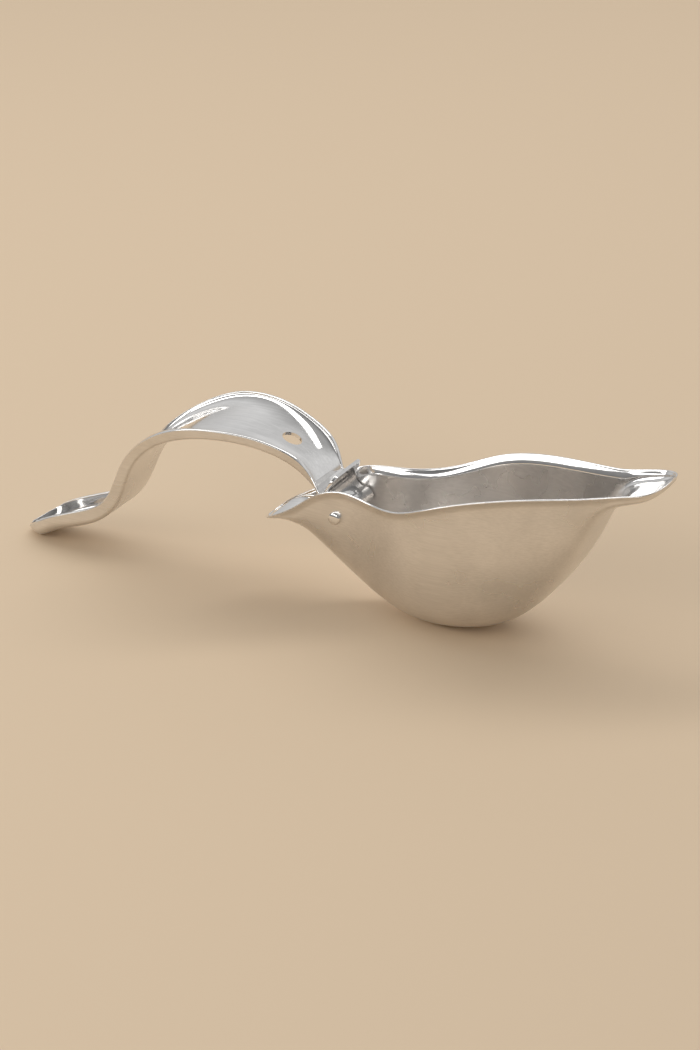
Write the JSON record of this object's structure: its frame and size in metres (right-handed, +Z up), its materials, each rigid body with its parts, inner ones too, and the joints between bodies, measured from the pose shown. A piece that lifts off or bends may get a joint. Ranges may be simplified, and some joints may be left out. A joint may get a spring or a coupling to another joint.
{
  "type": "hinged lemon squeezer",
  "caption": "Stamped steel lemon wedge squeezer: a boat-shaped bowl with a pouring spout, and a trough-shaped press lever with a thumb tab, riveted at the rear.",
  "frame": {"origin": "centre of the open part in plan, on the table it stands on", "axes": "+Z up, +X towards the pouring spout, +Y across the part along the hinge rivet"},
  "size_m": [0.2066, 0.0434, 0.0557],
  "materials": {
    "bowl_steel": "brushed outside, polished lip",
    "lever_steel": "brushed, polished rim",
    "rivet_steel": "turned and tumbled"
  },
  "bodies": {
    "bowl": {"bowl_body": "bowl_steel", "hinge_rivet": "rivet_steel"},
    "lever": {"press_lever": "lever_steel"}
  },
  "joints": [
    {"name": "press_hinge", "type": "hinge", "parent": "bowl", "child": "lever", "pos_m": [0.0053, 0, 0.02872], "axis": [0, 1, 0], "range_deg": [-30, 148]}
  ]
}
